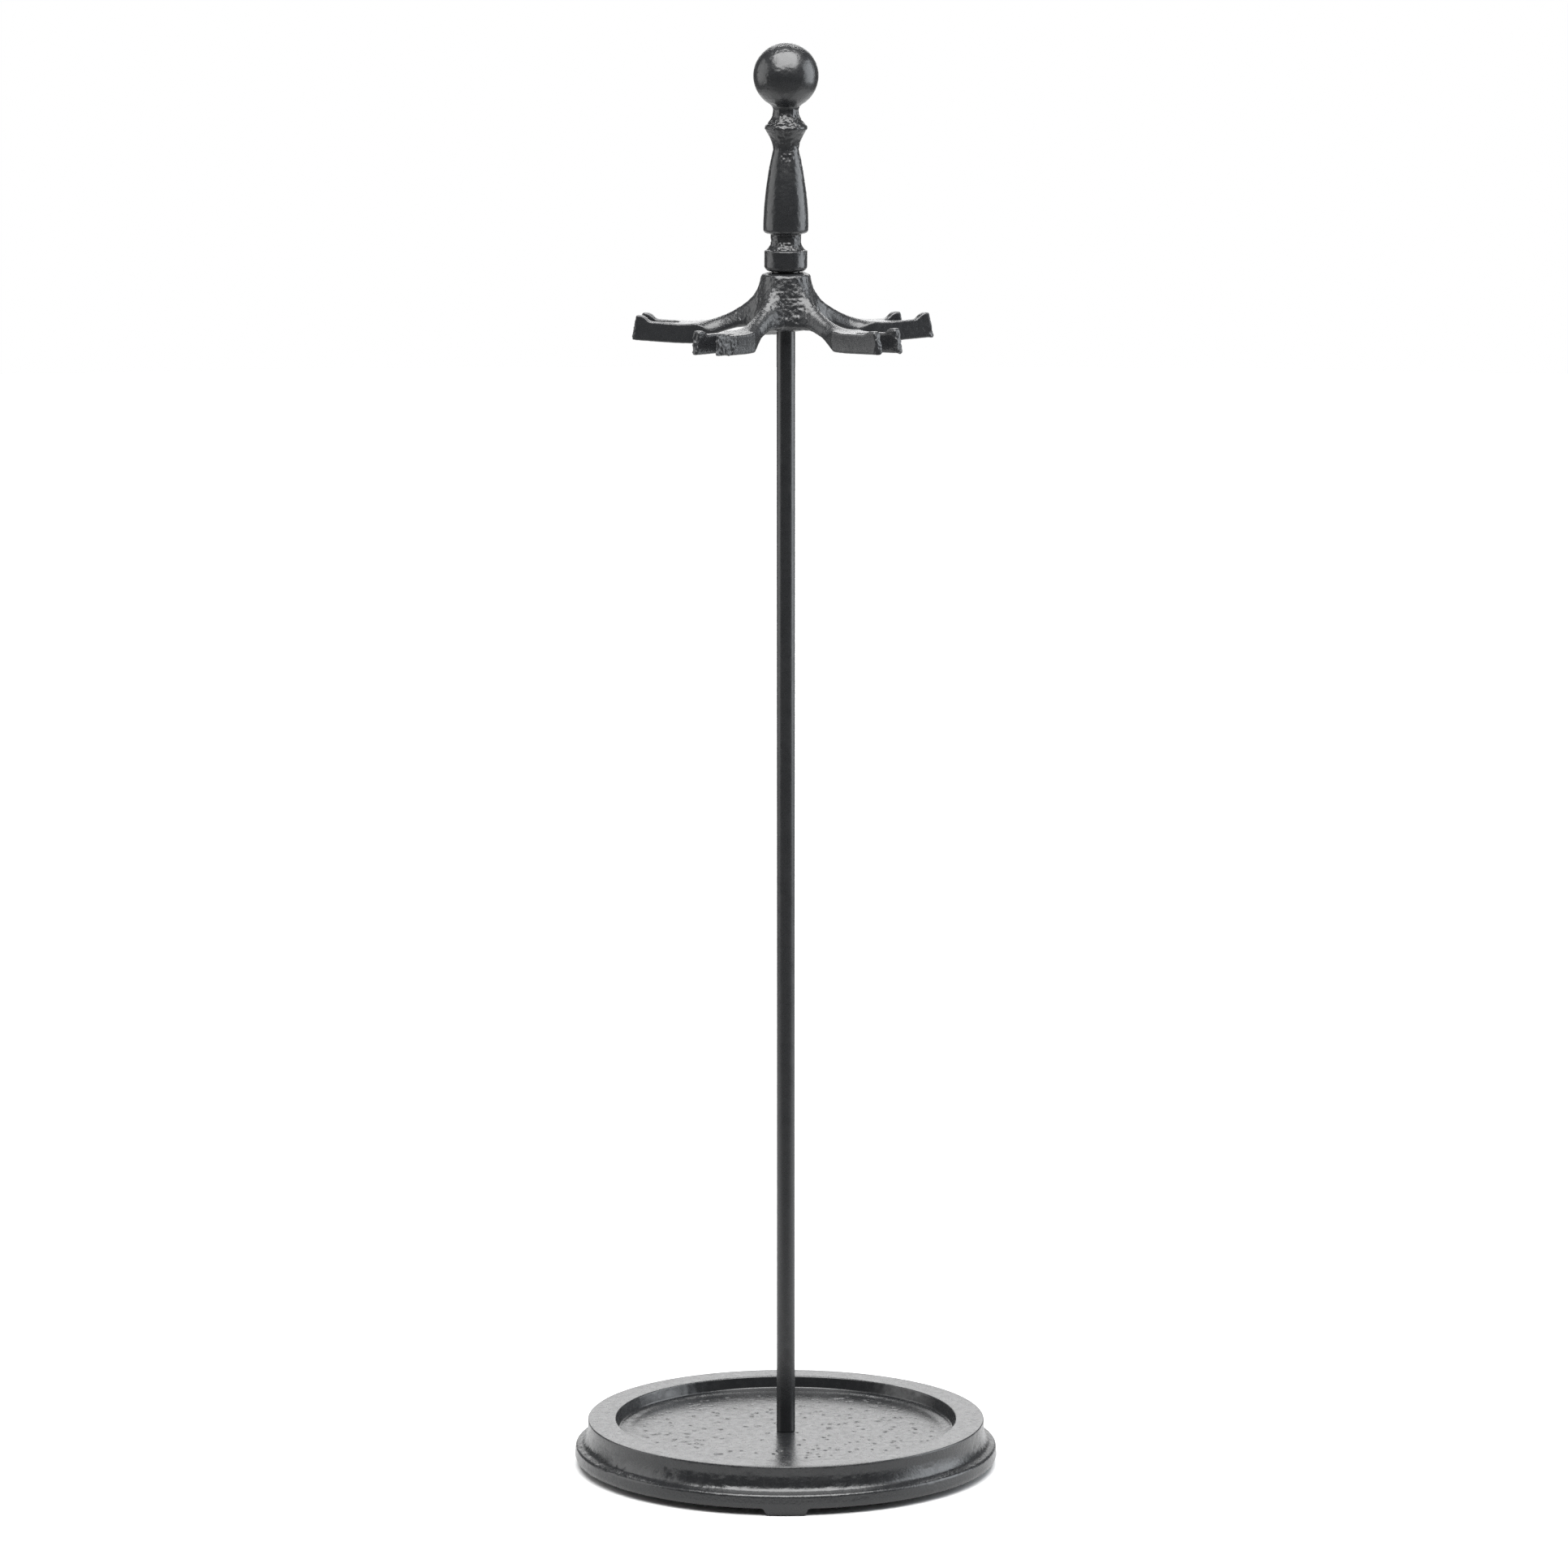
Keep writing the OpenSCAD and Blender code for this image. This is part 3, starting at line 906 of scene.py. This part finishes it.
def build_lock_washer():
    """Split washer: a ring that stops short of itself, with the ends closed."""
    gap = 1.2
    outline = washer_outline(BORE_R, lock_high[1], lock_low[2], lock_high[2], 0.15)
    steps = 64
    half = math.asin(gap / 2 / lock_high[1])
    w = np.linspace(half, 2 * math.pi - half, steps + 1)
    rows = len(outline)
    verts = np.array([[r * math.cos(a), r * math.sin(a), z] for a in w for r, z in outline])
    faces = []
    for i in range(steps):
        for j in range(rows):
            k = (j + 1) % rows
            a, b = i * rows, (i + 1) * rows
            faces.append((a + j, b + j, b + k, a + k))
    faces.append(tuple(range(rows)))
    faces.append(tuple(range(steps * rows, (steps + 1) * rows))[::-1])
    return new_piece("split_lock_washer", verts, faces, "stand", "lock_washer", ZINC,
                     35)


def build_nut():
    """Hex nut with chamfered corners and a threaded hole."""
    around = 144
    flat_r = nut_high[1]
    low, high = nut_low[2], nut_high[2]
    w = np.linspace(0, 2 * math.pi, around, endpoint=False)
    hexagon = flat_r / np.cos((w + math.pi / 6) % (math.pi / 3) - math.pi / 6)
    washer_face = flat_r * 0.95
    drop = np.maximum(hexagon - washer_face, 0) * math.tan(math.radians(30))
    rings = []
    for z in np.arange(high - 0.35, low + 0.34, -PITCH / 8):
        rings.append((thread_radius(z, w, low - 9), z))
    mouth, face = np.full(around, STUD_R + 0.35), np.full(around, washer_face)
    rings += [(mouth, low), (face, low)]
    rings += [(hexagon, low + drop), (hexagon, high - drop)]
    rings += [(face, high), (mouth, high)]
    verts = np.concatenate([
        np.stack([r * np.cos(w), r * np.sin(w), z + 0 * w], axis=1) for r, z in rings
    ])
    faces = grid_faces(len(rings), around, closed_rows=True)
    return new_piece("hex_nut", verts, faces, "stand", "base_nut", ZINC, 25)


build_base()
build_rod()
build_hanger()
build_handle()
build_washer("top_washer_ring", "top_washer", "top_washer", ROD_PAINT, 0.12)
build_washer("flat_washer", "base_washer", "stand", ZINC, 0.15)
build_lock_washer()
build_nut()


# ---------------------------------------------------------------- floor, light and camera

def staged(name, verts, faces, material):
    mesh = bpy.data.meshes.new(name)
    mesh.from_pydata(verts, [], faces)
    mesh.polygons.foreach_set("use_smooth", [True] * len(mesh.polygons))
    mesh.materials.append(material)
    thing = bpy.data.objects.new(name, mesh)
    bpy.context.scene.collection.objects.link(thing)
    return thing


def build_floor():
    """A wide pale floor with a pale wall all round, lit enough to look plain from any side."""
    around, radius, height = 96, 4.5, 6.0
    w = np.linspace(0, 2 * math.pi, around, endpoint=False)
    rim = np.stack([radius * np.cos(w), radius * np.sin(w), 0 * w], axis=1)
    floor = staged("floor", rim.tolist(), [tuple(range(around))], floor_pale())
    rings = [rim - (0, 0, height), rim + (0, 0, height)]
    wall = staged("backdrop", np.concatenate(rings).tolist(), grid_faces(2, around),
                  backdrop_pale())
    floor.visible_glossy = False
    wall.visible_glossy = wall.visible_diffuse = wall.visible_shadow = False


def build_reflected_paper():
    """The roll of paper behind the stand as the paint mirrors it; the camera doesn't see it."""
    size, back, height, bend, lift = 4.0, 2.2, 2.4, 0.8, 0.0003
    outline = joined([[-size, 0]], arc(back, bend, bend, -90, 0, 16), [[back + bend, height]])
    verts = [(x, y, z + lift) for y, z in outline for x in (-size, size)]
    faces = [(2 * i, 2 * i + 1, 2 * i + 3, 2 * i + 2) for i in range(len(outline) - 1)]
    paper = staged("reflected_paper", verts, faces, floor_paper())
    paper.visible_camera = paper.visible_diffuse = paper.visible_shadow = False


def softbox(name, place, target, width, height, radiance, color=(1, 1, 1)):
    """A rectangular light of a given brightness, aimed at a point."""
    data = bpy.data.lights.new(name, "AREA")
    data.shape = "RECTANGLE"
    data.size, data.size_y = width, height
    data.energy = radiance * math.pi * width * height
    data.color = color
    light = bpy.data.objects.new(name, data)
    place, target = np.array(place, float), np.array(target, float)
    light.visible_camera = False
    light.location = place
    light.rotation_mode = "QUATERNION"
    light.rotation_quaternion = Vector(target - place).to_track_quat("-Z", "Y")
    bpy.context.scene.collection.objects.link(light)


def build_light():
    middle = (0, 0, cad_high[2] / 2)
    softbox("overhead", (0.03, -0.6, 1.95), (0, 0, 0.5), 2.2, 1.9, 9.5)
    softbox("left_side", (-1.7, 0.15, 0.7), middle, 1.5, 1.8, 2.0)
    softbox("right_side", (1.7, 0.15, 0.7), middle, 1.4, 1.8, 4.2, (0.92, 0.96, 1.0))
    softbox("behind", (0, 2.4, 0.95), (0, 0, 0.05), 1.6, 0.8, 0.72)
    softbox("wall_wash", (0, 1.9, 2.2), (0, 3.0, 0.5), 2.0, 0.6, 20.0)
    world = bpy.data.worlds.new("studio")
    world.use_nodes = True
    world.node_tree.nodes["Background"].inputs["Color"].default_value = (1, 1, 1, 1)
    world.node_tree.nodes["Background"].inputs["Strength"].default_value = 0.09
    bpy.context.scene.world = world
    bpy.context.scene.view_settings.view_transform = "Standard"


def build_camera():
    """A long lens a little above the stand, tipped down at its middle."""
    distance, height, tip_down, aside = 3.163, 0.8211, 9.33, -0.0008
    data = bpy.data.cameras.new("camera")
    data.lens = 170.4
    data.clip_end = 50
    camera = bpy.data.objects.new("camera", data)
    camera.location = (aside, -distance, height)
    camera.rotation_euler = (math.radians(90 - tip_down), 0, 0)
    bpy.context.scene.collection.objects.link(camera)
    bpy.context.scene.camera = camera


build_floor()
build_reflected_paper()
build_light()
build_camera()
